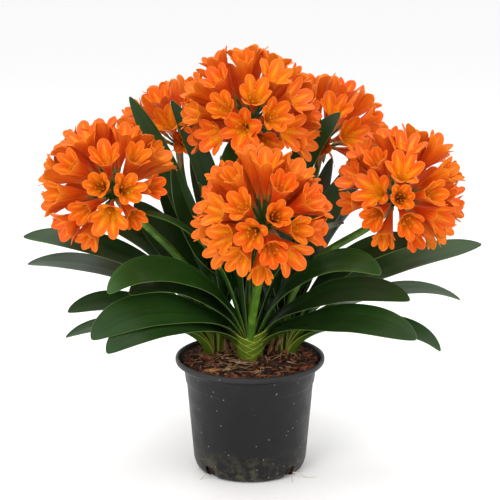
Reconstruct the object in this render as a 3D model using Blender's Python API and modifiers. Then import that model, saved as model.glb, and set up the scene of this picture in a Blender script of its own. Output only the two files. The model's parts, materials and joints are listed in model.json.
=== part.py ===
# A flowering clivia in its nursery pot: four leaf fans, six flower heads on stalks, bark-topped potting mix.
# Lengths are in millimetres and become metres where a mesh is made. +Z is up, the viewer's side is -Y,
# and the origin is the centre of the pot's flat base.
import math
import random
from collections import namedtuple

import bmesh
import bpy
import numpy as np
from mathutils import Matrix, Vector

MM = 0.001
CLEARANCE = 0.3

# Nursery pot
RIM_RADIUS = 100.0
POT_HEIGHT = 155.0
LIP_DEPTH = 6.0
COLLAR_RADIUS = 88.5
COLLAR_BOTTOM = 121.0
FOOT_RADIUS = 74.5
POT_WALL = 1.8
POT_SIDES = 32
POT_FLOOR = 3.0
SLOT_DEPTH = 24.0
SLOT_WIDTH = 17.0
SLOT_HEIGHT = 16.0
SLOT_ANGLES = (45, 135, 225, 315)

# Potting mix and its bark
SOIL_EDGE = 146.0
SOIL_MOUND = 7.0
SOIL_RINGS = (84, 72, 58, 44, 30, 15)
SOIL_RELIEF = 1.5
SOIL_CALM_RADIUS = 92.0
SOIL_CALM_OVER = 12.0
CHIP_COUNT = 20
CHIP_SIZES = ((24, 9, 4.5), (17, 8, 4), (30, 6, 3.5))
CHIP_REACH = 78.0
CHIP_CLEAR_OF_FAN = 47.0
CHIP_CLEAR_OF_CHIP = 15.0
CHIP_CLEAR_OF_WALL = 86.0
CHIP_TRIES = 2000

# Fans of leaves: each grows from a short root crown that stands in a plain hole in the mix
HOLE_DEPTH = 16.0
HOLE_MARGIN = 1.8
CROWN_MARGIN = 0.8
SHEATH_DEPTH = 4.0
SHEATH_NEAR = 9.5
SHEATH_STEP = 1.3
SHEATH_HALF_WIDTH = 14.0
SHEATH_WIDTH_STEP = 1.3
SHEATH_WRAP = 80.0
SHEATH_OPENS_OVER = 110.0
LEAF_THICKNESS = 0.7
LEAF_ROWS = (0.0, 0.08, 0.2, 0.36, 0.54, 0.72, 0.89, 1.0)
LEAF_COLUMNS = (-1.0, 0.0, 1.0)
BLADE_NECK = 0.6
BLADE_FULL = 0.6
BLADE_TAPER = 0.68
CHANNEL_DEPTH = 4.0
TIP_PULL = 0.36

# Flower heads
STALK_RADIUS = 5.8
STALK_TOP_RADIUS = 4.6
STALK_POINTS = 8
STALK_STRAIGHT = 5.0
STALK_GAP = 0.5
HUB_PULL = 0.3
HUB_RADIUS = 7.5
HUB_HEIGHT = 12.0
PEDICEL_RADIUS = 1.7
FLOWER_LENGTH = 58.0
TUBE_LENGTH = 27.0
NOTCH_RADIUS = 9.5
LOBE_WIDE_RADIUS = 18.5
LOBE_HALF_WIDTH = 8.2
LOBE_TIP_RADIUS = 25.0
LOBE_RIB = 1.6
THROAT_DEPTH = 15.0
STEM_JITTER = 3.0
GOLDEN_ANGLE = math.pi * (3 - math.sqrt(5))

# place: centre of the fan on the mix. plane: the way the first rank faces, in degrees from +X towards +Y.
# shoulders: room beside the sheaths, on the sides towards -Y or -X and towards +Y or +X, for a stalk.
Fan = namedtuple("Fan", "place plane shoulders ranks")

# tip: where the leaf ends. rise: how tall an upright start it has. droop: how far its end points below
# level. width: its widest. tilt: how far its upper face turns towards the viewer's side.
Leaf = namedtuple("Leaf", "name tip rise droop width tilt")

# stand: how far along its fan's row the stalk stands. rise: how tall an upright start the stalk has.
# hub: where the flower stems meet. aim: the way the head faces. count: its flowers. spread: how far round
# they go. reach: stem length at its middle and at its edge. seed: the draw that keeps its flowers clear.
Head = namedtuple("Head", "name fan stand rise hub aim count spread reach seed")

FANS = {
    "front": Fan((0, 14), 180, (13, 0), (
        (
            Leaf("front_left_1", (-65, -70, 405), 130, -55, 34, 20),
            Leaf("front_left_2", (-135, -70, 365), 85, -10, 32, 20),
            Leaf("front_left_3", (-180, -90, 265), 110, 50, 46, 35),
            Leaf("front_left_4", (-155, -60, 255), 65, 40, 44, 30),
            Leaf("front_left_5", (-200, -110, 210), 70, 45, 50, 45),
            Leaf("front_left_6", (-180, -120, 195), 50, 45, 46, 35),
        ),
        (
            Leaf("front_right_1", (70, 0, 395), 130, -35, 38, 0),
            Leaf("front_right_2", (120, -60, 350), 80, -15, 34, 20),
            Leaf("front_right_3", (165, -90, 290), 85, 35, 44, 35),
            Leaf("front_right_4", (205, -70, 250), 65, 25, 44, 35),
            Leaf("front_right_5", (210, -110, 210), 45, 30, 46, 40),
        ),
    )),
    "left": Fan((-46, 36), 180, (0, 0), (
        (
            Leaf("left_1", (-155, 50, 355), 115, -50, 48, 50),
            Leaf("left_2", (-220, 40, 340), 90, -10, 42, 30),
            Leaf("left_3", (-300, 10, 315), 100, 5, 44, 30),
            Leaf("left_4", (-300, 40, 270), 80, 15, 42, 20),
            Leaf("left_5", (-240, -20, 220), 50, 30, 42, 25),
            Leaf("left_6", (-250, 30, 170), 45, 35, 30, 20),
        ),
        (
            Leaf("left_inner_1", (-160, 60, 495), 100, -60, 30, 70),
            Leaf("left_inner_2", (-100, -20, 420), 140, -88, 30, 70),
            Leaf("left_inner_3", (-105, 60, 490), 150, -55, 30, 70),
            Leaf("left_inner_4", (-25, -55, 455), 190, -80, 42, 15),
        ),
    )),
    "right": Fan((46, 36), 0, (0, 0), (
        (
            Leaf("right_1", (165, 110, 385), 75, -35, 30, -5),
            Leaf("right_2", (180, 70, 335), 95, 70, 34, -10),
            Leaf("right_3", (225, 10, 310), 75, 5, 42, 40),
            Leaf("right_4", (310, 30, 300), 85, -5, 44, 30),
            Leaf("right_5", (285, 40, 220), 60, 35, 40, 10),
            Leaf("right_6", (255, 0, 160), 45, 60, 40, 20),
        ),
        (
            Leaf("right_inner_1", (170, 60, 430), 110, -50, 34, 65),
            Leaf("right_inner_2", (120, 50, 475), 140, -40, 38, 60),
            Leaf("right_inner_3", (45, 30, 475), 70, -30, 36, -15),
        ),
    )),
    "back": Fan((0, 66), 90, (13, 13), (
        (
            Leaf("back_1", (-40, 170, 395), 130, -10, 38, 0),
            Leaf("back_2", (80, 200, 350), 130, -5, 42, 0),
            Leaf("back_3", (-75, 240, 305), 115, 15, 44, 0),
            Leaf("back_4", (80, 250, 270), 85, 20, 46, 0),
            Leaf("back_5", (-45, 290, 235), 70, 35, 44, 0),
            Leaf("back_6", (60, 260, 195), 45, 40, 46, 0),
        ),
        (
            Leaf("back_inner_1", (0, 110, 450), 140, -75, 40, 0),
        ),
    )),
}

HEADS = (
    Head("front", "front", -27.3, 90, (16, -124, 362), (-0.08, -0.5, 0.86), 25, 102, (48, 18), 1),
    Head("top", "front", 0, 120, (1, 6, 467), (0.0, -0.1, 1.0), 24, 104, (50, 28), 17),
    Head("left", "left", 0, 111, (-175, -25, 382), (-0.58, -0.3, 0.8), 24, 106, (48, 22), 1),
    Head("right", "right", 0, 160, (187, -25, 373), (0.46, -0.34, 0.85), 24, 106, (46, 20), 1),
    Head("back_left", "back", -28.0, 110, (-97, 140, 414), (0.0, 0.1, 1.0), 16, 82, (40, 30), 3),
    Head("back_right", "back", 28.0, 110, (99, 135, 417), (0.15, 0.05, 1.0), 17, 92, (44, 30), 1),
)

COLOURS = {
    "black_plastic": ((0.022, 0.023, 0.025), 0.45),
    "bark_mix": ((0.105, 0.043, 0.024), 0.95),
    "root_crown": ((0.42, 0.36, 0.10), 0.6),
    "leaf_green": ((0.024, 0.085, 0.014), 0.35),
    "stalk_green": ((0.09, 0.19, 0.035), 0.45),
    "flower_orange": ((0.86, 0.17, 0.015), 0.5),
}


def clear_scene():
    for old in list(bpy.data.objects):
        bpy.data.objects.remove(old)


def new_collection(name, shown=True):
    made = bpy.data.collections.new(name)
    bpy.context.scene.collection.children.link(made)
    made.hide_render = not shown
    return made


def material(name):
    found = bpy.data.materials.get(name)
    if found:
        return found
    colour, roughness = COLOURS[name]
    made = bpy.data.materials.new(name)
    made.use_nodes = True
    shader = made.node_tree.nodes["Principled BSDF"]
    shader.inputs["Base Color"].default_value = (*colour, 1)
    shader.inputs["Roughness"].default_value = roughness
    made.diffuse_color = (*colour, 1)
    return made


def add_object(name, mesh, collection, finish):
    made = bpy.data.objects.new(name, mesh)
    made.data.materials.clear()
    made.data.materials.append(material(finish))
    collection.objects.link(made)
    return made


def mesh_from(shape, name):
    """A mesh in metres from a bmesh in millimetres, which is freed."""
    bmesh.ops.scale(shape, vec=(MM, MM, MM), verts=shape.verts)
    bmesh.ops.recalc_face_normals(shape, faces=shape.faces)
    mesh = bpy.data.meshes.new(name)
    shape.to_mesh(mesh)
    shape.free()
    return mesh


def apply_modifiers(made):
    """The object's evaluated mesh becomes its own, and its modifiers go."""
    graph = bpy.context.evaluated_depsgraph_get()
    done = bpy.data.meshes.new_from_object(made.evaluated_get(graph))
    made.modifiers.clear()
    made.data = done
    return made


def boolean(made, operation, collection, solver="EXACT"):
    """Joins or cuts made with every object of the collection, which are then removed."""
    step = made.modifiers.new(operation.title(), "BOOLEAN")
    step.operation = operation
    step.solver = solver
    step.operand_type = "COLLECTION"
    step.collection = collection
    apply_modifiers(made)
    for used in list(collection.objects):
        bpy.data.objects.remove(used)
    bpy.data.collections.remove(collection)
    return made


def turned(name, profile, collection, finish):
    """A solid turned about Z from a profile of (radius, height) points, from the floor's centre and back."""
    outline = bmesh.new()
    points = [outline.verts.new((radius, 0, height)) for radius, height in profile]
    for start, end in zip(points, points[1:]):
        outline.edges.new((start, end))
    bmesh.ops.scale(outline, vec=(MM, MM, MM), verts=outline.verts)
    mesh = bpy.data.meshes.new(name)
    outline.to_mesh(mesh)
    outline.free()
    made = add_object(name, mesh, collection, finish)
    screw = made.modifiers.new("Turn", "SCREW")
    screw.steps = POT_SIDES
    screw.render_steps = POT_SIDES
    screw.use_merge_vertices = True
    screw.merge_threshold = 1e-5
    return apply_modifiers(made)


def pot_outside():
    """The pot's outer profile, from the rim's top down to the centre of its base."""
    lip_bottom = POT_HEIGHT - LIP_DEPTH
    return (
        (RIM_RADIUS - 1.5, POT_HEIGHT),
        (RIM_RADIUS, POT_HEIGHT - 1.8),
        (RIM_RADIUS, lip_bottom),
        (RIM_RADIUS - 3.5, lip_bottom - 3),
        (COLLAR_RADIUS + 2.5, lip_bottom - 5),
        (COLLAR_RADIUS, lip_bottom - 11),
        (COLLAR_RADIUS - 2.3, COLLAR_BOTTOM),
        (COLLAR_RADIUS - 3.4, COLLAR_BOTTOM - 1.5),
        (FOOT_RADIUS + 1.5, 15),
        (FOOT_RADIUS - 0.5, 7),
        (FOOT_RADIUS - 4.5, 1.5),
        (FOOT_RADIUS - 9, 0),
        (0, 0),
    )


def pot_inside(gap):
    """The pot's inner profile, this far inside the wall, from the centre of its floor up to the lip."""
    inset = POT_WALL + gap
    floor = POT_FLOOR + gap
    return (
        (0, floor),
        (FOOT_RADIUS - 5.5 - inset, floor),
        (FOOT_RADIUS - 0.8 - inset, 9),
        (COLLAR_RADIUS - 3.6 - inset, COLLAR_BOTTOM - 1.5),
        (COLLAR_RADIUS - 0.3 - inset, POT_HEIGHT - LIP_DEPTH - 11),
        (COLLAR_RADIUS + 6.5 - inset, POT_HEIGHT - LIP_DEPTH - 2),
    )


def build_pot(parts):
    lip = ((RIM_RADIUS - 5, POT_HEIGHT - 1.5), (RIM_RADIUS - 3.5, POT_HEIGHT))
    pot = turned("pot", pot_inside(0) + lip + pot_outside(), parts, "black_plastic")
    slots = new_collection("drain slots", shown=False)
    for angle in SLOT_ANGLES:
        turn = Matrix.Rotation(math.radians(angle), 4, "Z")
        place = turn @ Matrix.Translation((FOOT_RADIUS * MM, 0, 0))
        block = bmesh.new()
        bmesh.ops.create_cube(block, size=1)
        bmesh.ops.scale(block, vec=(SLOT_DEPTH, SLOT_WIDTH, 2 * SLOT_HEIGHT), verts=block.verts)
        cutter = add_object(f"slot_{angle}", mesh_from(block, "slot"), slots, "black_plastic")
        cutter.matrix_world = place
        cutter.display_type = "WIRE"
    return boolean(pot, "DIFFERENCE", slots)


def soil_relief(x, y):
    """Height of the mix's lumps at a place, by a formula."""
    waves = math.sin(0.21 * x + 1.3) * math.cos(0.17 * y - 0.4)
    ripples = math.sin(0.43 * x - 0.31 * y) * math.cos(0.37 * y + 0.29 * x)
    return SOIL_RELIEF * (0.6 * waves + 0.6 * ripples)


def soil_height(x, y):
    """Top of the mix: it mounds a little towards the middle."""
    radius = math.hypot(x, y)
    edge = SOIL_RINGS[0]
    rise = SOIL_MOUND * (1 - min(1.0, radius / edge) ** 2)
    return SOIL_EDGE + rise + soil_relief(x, y) * min(1.0, (SOIL_CALM_RADIUS - radius) / SOIL_CALM_OVER)


def sheath_ellipse(order):
    """Half-depth and half-width of the ring that a rank's leaf sheath lies on, counted from the innermost."""
    return SHEATH_NEAR + SHEATH_STEP * order, SHEATH_HALF_WIDTH + SHEATH_WIDTH_STEP * order


def fan_column(fan, margin, bottom, top):
    """An elliptical post the size of a fan's outermost sheath, for its hole or its root crown."""
    order = max(len(rank) for rank in fan.ranks) - 1
    depth, width = sheath_ellipse(order)
    near, far = fan.shoulders
    width += (near + far) / 2
    centre = np.array(fan.place) + (far - near) / 2 * fan_row(fan)[:2]
    post = bmesh.new()
    bmesh.ops.create_cone(post, cap_ends=True, segments=20, radius1=1, radius2=1, depth=top - bottom)
    bmesh.ops.scale(post, vec=(depth + margin, width + margin, 1), verts=post.verts)
    bmesh.ops.rotate(post, matrix=Matrix.Rotation(math.radians(fan.plane), 3, "Z"), verts=post.verts)
    bmesh.ops.translate(post, vec=(*centre, (bottom + top) / 2), verts=post.verts)
    return post


def fan_row(fan):
    """The way that a fan's stalks stand in a row, square to its leaves: towards +Y or +X."""
    return flat(math.radians(90 - fan.plane % 180))


def fan_base(fan):
    """Level of the root crown's top, on which the sheaths stand."""
    return round(soil_height(*fan.place)) - SHEATH_DEPTH


def add_chips(soil, rng):
    """Bark chips lie half sunk in the mix, clear of the fans, and are joined to it."""
    chips = new_collection("chips", shown=False)
    placed = []
    for _ in range(CHIP_TRIES):
        radius = CHIP_REACH * math.sqrt(rng.random())
        angle = rng.uniform(0, math.tau)
        x, y = radius * math.cos(angle), radius * math.sin(angle)
        size = CHIP_SIZES[len(placed) % len(CHIP_SIZES)]
        near_fan = any(math.dist((x, y), fan.place) < CHIP_CLEAR_OF_FAN for fan in FANS.values())
        near_wall = radius + size[0] / 2 > CHIP_CLEAR_OF_WALL
        near_chip = any(math.dist((x, y), other) < CHIP_CLEAR_OF_CHIP for other in placed)
        if len(placed) == CHIP_COUNT or near_fan or near_wall or near_chip:
            continue
        placed.append((x, y))
        chip = bmesh.new()
        bmesh.ops.create_cone(chip, cap_ends=True, segments=5, radius1=0.5, radius2=0.36, depth=1)
        bmesh.ops.scale(chip, vec=size, verts=chip.verts)
        tilt = Matrix.Rotation(rng.uniform(-0.12, 0.12), 3, "X")
        turn = Matrix.Rotation(rng.uniform(0, math.pi), 3, "Z")
        bmesh.ops.rotate(chip, matrix=turn @ tilt, verts=chip.verts)
        bmesh.ops.translate(chip, vec=(x, y, soil_height(x, y) + 0.3), verts=chip.verts)
        add_object(f"chip_{len(placed)}", mesh_from(chip, "chip"), chips, "bark_mix")
    return boolean(soil, "UNION", chips)


def build_soil(parts, rng):
    """The mix fills the pot to just under its rim."""
    wall = [point for point in pot_inside(CLEARANCE) if point[1] < SOIL_EDGE]
    low, high = pot_inside(CLEARANCE)[-2:]
    share = (SOIL_EDGE - low[1]) / (high[1] - low[1])
    brim = (low[0] + share * (high[0] - low[0]), SOIL_EDGE)
    profile = wall + [brim] + [(radius, SOIL_EDGE) for radius in SOIL_RINGS] + [(0, SOIL_EDGE)]
    soil = turned("potting_mix", profile[::-1], parts, "bark_mix")
    for corner in soil.data.vertices:
        x, y, z = (value / MM for value in corner.co)
        if z > SOIL_EDGE - 0.01 and math.hypot(x, y) < SOIL_RINGS[0] + 1:
            corner.co.z = soil_height(x, y) * MM
    add_chips(soil, rng)
    holes = new_collection("holes", shown=False)
    for name, fan in FANS.items():
        bottom = fan_base(fan) - HOLE_DEPTH
        post = fan_column(fan, HOLE_MARGIN, bottom, POT_HEIGHT + 10)
        add_object(f"hole_{name}", mesh_from(post, "hole"), holes, "bark_mix")
    return boolean(soil, "DIFFERENCE", holes)


def build_root_crown(name, fan, parts):
    top = fan_base(fan)
    post = fan_column(fan, CROWN_MARGIN, top - HOLE_DEPTH + CLEARANCE, top)
    return add_object(f"root_crown_{name}", mesh_from(post, "root_crown"), parts, "root_crown")


def smooth(value):
    value = np.clip(value, 0.0, 1.0)
    return value * value * (3 - 2 * value)


def unit(vectors):
    return vectors / np.linalg.norm(vectors, axis=-1, keepdims=True)


def flat(angle):
    return np.array((math.cos(angle), math.sin(angle), 0.0))


def cubic(start, leave, arrive, end, share):
    """Points of a cubic curve at these shares of its parameter."""
    share = np.asarray(share)[:, None]
    rest = 1 - share
    return (
        rest**3 * start
        + 3 * rest**2 * share * leave
        + 3 * rest * share**2 * arrive
        + share**3 * end
    )


def leaf_curve(leaf, fan, side, order):
    """The four points of a midrib's curve, and the leaf's heading at its sheath and at its tip, as angles."""
    rank = math.radians(fan.plane) + math.pi * side
    depth, _ = sheath_ellipse(order)
    start = np.array((*fan.place, fan_base(fan) + CLEARANCE)) + depth * flat(rank)
    tip = np.array(leaf.tip, float)
    heading = math.atan2(tip[1] - start[1], tip[0] - start[0])
    chord = np.linalg.norm(tip - start)
    droop = math.radians(leaf.droop)
    up = np.array((0.0, 0.0, 1.0))
    leave = start + leaf.rise * up
    arrive = tip - TIP_PULL * chord * (math.cos(droop) * flat(heading) - math.sin(droop) * up)
    return (start, leave, arrive, tip), rank, heading


def blade_half_width(share, width):
    """Half-width of the open blade at shares of its length: a narrow neck, a full middle, a rounded point."""
    grown = BLADE_NECK + (1 - BLADE_NECK) * smooth((share - 0.1) / (BLADE_FULL - 0.1))
    taper = np.clip((share - BLADE_TAPER) / (1 - BLADE_TAPER), 0, 1)
    return 0.5 * width * grown * (1 - taper**2.2) ** 0.75


def leaf_grid(leaf, fan, side, order, rows, columns):
    """Points of a leaf's middle surface in millimetres, row by row: a wrapped sheath that opens to a strap."""
    points, rank, heading = leaf_curve(leaf, fan, side, order)
    fine = np.linspace(0, 1, 81)
    path = cubic(*points, fine)
    steps = np.linalg.norm(np.diff(path, axis=0), axis=1)
    length = np.concatenate(([0], np.cumsum(steps)))
    rows = np.asarray(rows)
    share = np.interp(rows * length[-1], length, fine)
    centre = cubic(*points, share)
    tangent = unit(cubic(*points, share + 1e-3) - cubic(*points, np.maximum(share - 1e-3, 0)))
    turn = (heading - rank + math.pi) % math.tau - math.pi
    ways = rank + turn * smooth((rows - 0.12) / 0.45)
    across = np.stack((-np.sin(ways), np.cos(ways), np.zeros(len(rows))), axis=1)
    across = unit(across - (across * tangent).sum(1, keepdims=True) * tangent)
    under = np.cross(across, tangent)
    tilt = math.radians(leaf.tilt) * math.copysign(1, math.cos(heading)) * smooth((rows - 0.12) / 0.5)
    tilt = tilt[:, None]
    across, under = (
        across * np.cos(tilt) - under * np.sin(tilt),
        under * np.cos(tilt) + across * np.sin(tilt),
    )
    depth, half_width = sheath_ellipse(order)
    wrap = math.radians(SHEATH_WRAP)
    open_share = smooth(rows * length[-1] / SHEATH_OPENS_OVER)
    reach = (1 - open_share) * half_width * math.sin(wrap) + open_share * blade_half_width(rows, leaf.width)
    channel = CHANNEL_DEPTH * (1 - 0.8 * rows)
    hollow = (1 - open_share) * depth * (1 - math.cos(wrap)) + open_share * channel * (reach > 1e-6)
    hollow = np.minimum(hollow, reach * 2)
    grid = []
    for column in columns:
        angle = column * wrap
        sideways = reach * math.sin(angle) / math.sin(wrap)
        raised = hollow * (1 - math.cos(angle)) / (1 - math.cos(wrap))
        grid.append(centre + across * sideways[:, None] - under * raised[:, None])
    return np.stack(grid, axis=1)


def build_leaf(leaf, fan, side, order, parts):
    """One strap leaf: a loft of its sections, with Solidify for its thickness."""
    grid = leaf_grid(leaf, fan, side, order, LEAF_ROWS, LEAF_COLUMNS)
    blade = bmesh.new()
    rows = [[blade.verts.new(point) for point in row] for row in grid[:-1]]
    tip = blade.verts.new(grid[-1][len(LEAF_COLUMNS) // 2])
    for low, high in zip(rows, rows[1:]):
        for left in range(len(low) - 1):
            right = left + 1
            blade.faces.new((low[left], low[right], high[right]))
            blade.faces.new((low[left], high[right], high[left]))
    for left, right in zip(rows[-1], rows[-1][1:]):
        blade.faces.new((left, right, tip))
    made = add_object(f"leaf_{leaf.name}", mesh_from(blade, "leaf"), parts, "leaf_green")
    skin = made.modifiers.new("Thickness", "SOLIDIFY")
    skin.thickness = LEAF_THICKNESS * MM
    skin.offset = 0
    return apply_modifiers(made)


def stalk_curve(head):
    """The four points of a flower stalk's curve, from its root crown to just under its hub."""
    fan = FANS[head.fan]
    foot = np.array((*fan.place, fan_base(fan) + CLEARANCE)) + head.stand * fan_row(fan)
    aim = unit(np.array(head.aim))
    hub = np.array(head.hub, float)
    end = hub - (HUB_HEIGHT / 2 + STALK_GAP + STALK_STRAIGHT) * aim
    chord = np.linalg.norm(end - foot)
    start = foot + np.array((0, 0, STALK_STRAIGHT))
    leave = start + np.array((0, 0, head.rise))
    return start, leave, end - HUB_PULL * chord * aim, end


def build_stalk(head, parts):
    """A leafless stalk: a curve with a bevel, thinner at its top."""
    path = cubic(*stalk_curve(head), np.linspace(0, 1, STALK_POINTS))
    foot = path[0] - np.array((0, 0, STALK_STRAIGHT))
    path = np.vstack((foot, path, path[-1] + STALK_STRAIGHT * unit(np.array(head.aim))))
    curve = bpy.data.curves.new("stalk", "CURVE")
    curve.dimensions = "3D"
    curve.bevel_depth = STALK_RADIUS * MM
    curve.bevel_resolution = 2
    curve.use_fill_caps = True
    line = curve.splines.new("POLY")
    line.points.add(len(path) - 1)
    for point, place, share in zip(line.points, path, np.linspace(0, 1, len(path))):
        point.co = (*(place * MM), 1)
        point.radius = 1 + share * (STALK_TOP_RADIUS / STALK_RADIUS - 1)
    return add_object(f"flower_stalk_{head.name}", curve, parts, "stalk_green")


def flower_mesh(stem_length):
    """One flower on its stem, which starts at the origin and runs up Z: a tube that splits in six lobes."""
    flower = bmesh.new()

    def ring(radius, height, angles):
        return [
            flower.verts.new((radius * math.cos(angle), radius * math.sin(angle), height))
            for angle in map(math.radians, angles)
        ]

    foot = ring(PEDICEL_RADIUS, 2, (0, 120, 240))
    neck = ring(PEDICEL_RADIUS + 0.4, stem_length, (0, 120, 240))
    notch_height = stem_length + TUBE_LENGTH
    notches = ring(NOTCH_RADIUS, notch_height, range(-30, 330, 60))
    throat = flower.verts.new((0, 0, notch_height - THROAT_DEPTH))
    flower.faces.new(foot[::-1])
    for k in range(3):
        after = (k + 1) % 3
        flower.faces.new((foot[k], foot[after], neck[after], neck[k]))
        flower.faces.new((neck[k], neck[after], notches[(2 * k + 2) % 6]))
    spread = math.degrees(math.atan2(LOBE_HALF_WIDTH, LOBE_WIDE_RADIUS))
    wide_height = notch_height + 0.6 * (FLOWER_LENGTH - TUBE_LENGTH)
    for k in range(6):
        left, right = notches[k], notches[(k + 1) % 6]
        middle = 60 * k
        wide_left, wide_right = ring(LOBE_WIDE_RADIUS, wide_height, (middle - spread, middle + spread))
        (tip,) = ring(LOBE_TIP_RADIUS, stem_length + FLOWER_LENGTH, (middle,))
        rib_height = 0.5 * (notch_height + wide_height) - LOBE_RIB
        (rib,) = ring(0.5 * (NOTCH_RADIUS + LOBE_WIDE_RADIUS) + LOBE_RIB, rib_height, (middle,))
        flower.faces.new((left, right, throat))
        flower.faces.new((left, wide_left, right))
        flower.faces.new((right, wide_left, wide_right))
        flower.faces.new((wide_left, tip, wide_right))
        outside = (neck[k // 2], left, wide_left, tip, wide_right, right, neck[k // 2])
        for start, end in zip(outside, outside[1:]):
            flower.faces.new((start, rib, end))
    return mesh_from(flower, "flower")


def flower_places(head):
    """Where a head's flowers point, spread evenly round its aim, and how long their stems are."""
    rng = random.Random(head.seed)
    aim = Vector(head.aim).normalized()
    to_aim = Vector((0, 0, 1)).rotation_difference(aim).to_matrix()
    low = math.cos(math.radians(head.spread))
    phase = rng.uniform(0, math.tau)
    for k in range(head.count):
        level = 1 - (1 - low) * (k + 0.5) / head.count
        angle = phase + k * GOLDEN_ANGLE
        width = math.sqrt(1 - level * level)
        way = to_aim @ Vector((width * math.cos(angle), width * math.sin(angle), level))
        share = math.acos(level) / math.radians(head.spread)
        length = head.reach[0] + share * (head.reach[1] - head.reach[0])
        yield way, length + rng.uniform(-STEM_JITTER, STEM_JITTER), rng.uniform(0, math.tau)


def build_head(head, parts):
    """A head of flowers: stems from one hub, each with its flower, joined in one solid."""
    hub = bmesh.new()
    bmesh.ops.create_cone(
        hub, cap_ends=True, segments=8, radius1=HUB_RADIUS * 0.7, radius2=HUB_RADIUS, depth=HUB_HEIGHT
    )
    made = add_object(f"flower_head_{head.name}", mesh_from(hub, "hub"), parts, "flower_orange")
    turn = Vector((0, 0, 1)).rotation_difference(Vector(head.aim).normalized()).to_matrix().to_4x4()
    made.matrix_world = Matrix.Translation(Vector(head.hub) * MM) @ turn
    flowers = new_collection("flowers", shown=False)
    for number, (way, length, spin) in enumerate(flower_places(head)):
        flower = add_object(f"flower_{number}", flower_mesh(length), flowers, "flower_orange")
        facing = Vector((0, 0, 1)).rotation_difference(way).to_matrix().to_4x4()
        flower.matrix_world = (
            Matrix.Translation(Vector(head.hub) * MM) @ facing @ Matrix.Rotation(spin, 4, "Z")
        )
    bpy.context.view_layer.update()
    return boolean(made, "UNION", flowers, solver="MANIFOLD")


def build_clivia():
    clear_scene()
    parts = new_collection("clivia")
    build_pot(parts)
    build_soil(parts, random.Random(7))
    for name, fan in FANS.items():
        build_root_crown(name, fan, parts)
        for side, rank in enumerate(fan.ranks):
            for order, leaf in enumerate(rank):
                build_leaf(leaf, fan, side, order, parts)
    for head in HEADS:
        build_stalk(head, parts)
        build_head(head, parts)


build_clivia()
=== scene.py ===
# A clivia in flower, in its nursery pot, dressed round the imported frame, which is in metres.
# Sizes in the dictionaries are in millimetres. The camera stands on the -Y side.
import json
import math
import random

import bmesh
import bpy
import numpy as np
from mathutils import Matrix, Vector

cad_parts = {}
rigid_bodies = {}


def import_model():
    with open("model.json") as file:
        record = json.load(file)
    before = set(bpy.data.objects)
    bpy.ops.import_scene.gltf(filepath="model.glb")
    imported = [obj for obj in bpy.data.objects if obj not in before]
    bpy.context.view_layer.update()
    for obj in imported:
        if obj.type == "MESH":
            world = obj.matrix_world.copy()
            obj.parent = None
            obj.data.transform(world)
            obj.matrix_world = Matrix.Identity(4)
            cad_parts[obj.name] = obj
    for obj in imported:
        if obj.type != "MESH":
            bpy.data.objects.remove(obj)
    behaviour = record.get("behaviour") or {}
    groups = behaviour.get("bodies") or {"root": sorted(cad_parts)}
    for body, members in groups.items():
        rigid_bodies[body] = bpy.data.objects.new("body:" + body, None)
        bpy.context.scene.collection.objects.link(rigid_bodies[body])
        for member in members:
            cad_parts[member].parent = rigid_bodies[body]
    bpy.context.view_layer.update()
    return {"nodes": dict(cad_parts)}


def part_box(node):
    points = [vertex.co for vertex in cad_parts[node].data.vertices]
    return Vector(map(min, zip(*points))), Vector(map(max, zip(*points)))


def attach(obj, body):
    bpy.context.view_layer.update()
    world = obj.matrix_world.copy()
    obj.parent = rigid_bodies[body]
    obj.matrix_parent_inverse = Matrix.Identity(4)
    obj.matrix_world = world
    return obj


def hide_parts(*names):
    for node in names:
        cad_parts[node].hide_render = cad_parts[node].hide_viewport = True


for old in list(bpy.data.objects):
    bpy.data.objects.remove(old)

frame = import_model()
mm = 0.001
goldenAngle = math.pi * (3 - math.sqrt(5))
upward = np.array((0.0, 0.0, 1.0))

# White studio sweep. Each light: name, place in metres, size in metres, power in watts.
stage = {
    "cameraDistance": 2.0,
    "cameraHeight": 0.795,
    "cameraPitch": 13.9,
    "lens": 112.46,
    "sensor": 36.0,
    "floorSize": 14.0,
    "floorColour": "#FFFFFF",
    "skyColour": "#FFFFFF",
    "skyStrength": 0.95,
    "lookAt": (0, 0, 0.33),
    "lights": (
        ("keyLight", (-1.0, -1.8, 1.9), 1.1, 22),
        ("fillLight", (1.8, -1.3, 1.2), 1.2, 9),
        ("topLight", (0.1, 0.3, 2.3), 1.2, 16),
        ("backLight", (-0.7, 1.9, 1.4), 1.2, 8),
    ),
}


def makeStage():
    lens = bpy.data.cameras.new("camera")
    lens.lens = stage["lens"]
    lens.sensor_width = stage["sensor"]
    camera = bpy.data.objects.new("camera", lens)
    camera.location = (0, -stage["cameraDistance"], stage["cameraHeight"])
    camera.rotation_euler = (math.radians(90 - stage["cameraPitch"]), 0, 0)
    bpy.context.scene.collection.objects.link(camera)
    bpy.context.scene.camera = camera
    bpy.context.scene.view_settings.view_transform = "Standard"
    bpy.ops.mesh.primitive_plane_add(size=stage["floorSize"])
    floor = bpy.context.object
    floor.name = "floor"
    _, shader = newMaterial(floor, "whitePaperSweep", Roughness=0.9)
    shader.inputs["Base Color"].default_value = linear(stage["floorColour"])
    world = bpy.data.worlds.new("studio")
    world.use_nodes = True
    bpy.context.scene.world = world
    sky = world.node_tree.nodes["Background"]
    sky.inputs["Color"].default_value = linear(stage["skyColour"])
    sky.inputs["Strength"].default_value = stage["skyStrength"]
    for name, place, size, power in stage["lights"]:
        lamp = bpy.data.lights.new(name, "AREA")
        lamp.size = size
        lamp.energy = power
        light = bpy.data.objects.new(name, lamp)
        light.location = place
        aim = Vector(stage["lookAt"]) - light.location
        light.rotation_euler = aim.to_track_quat("-Z", "Y").to_euler()
        bpy.context.scene.collection.objects.link(light)


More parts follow.
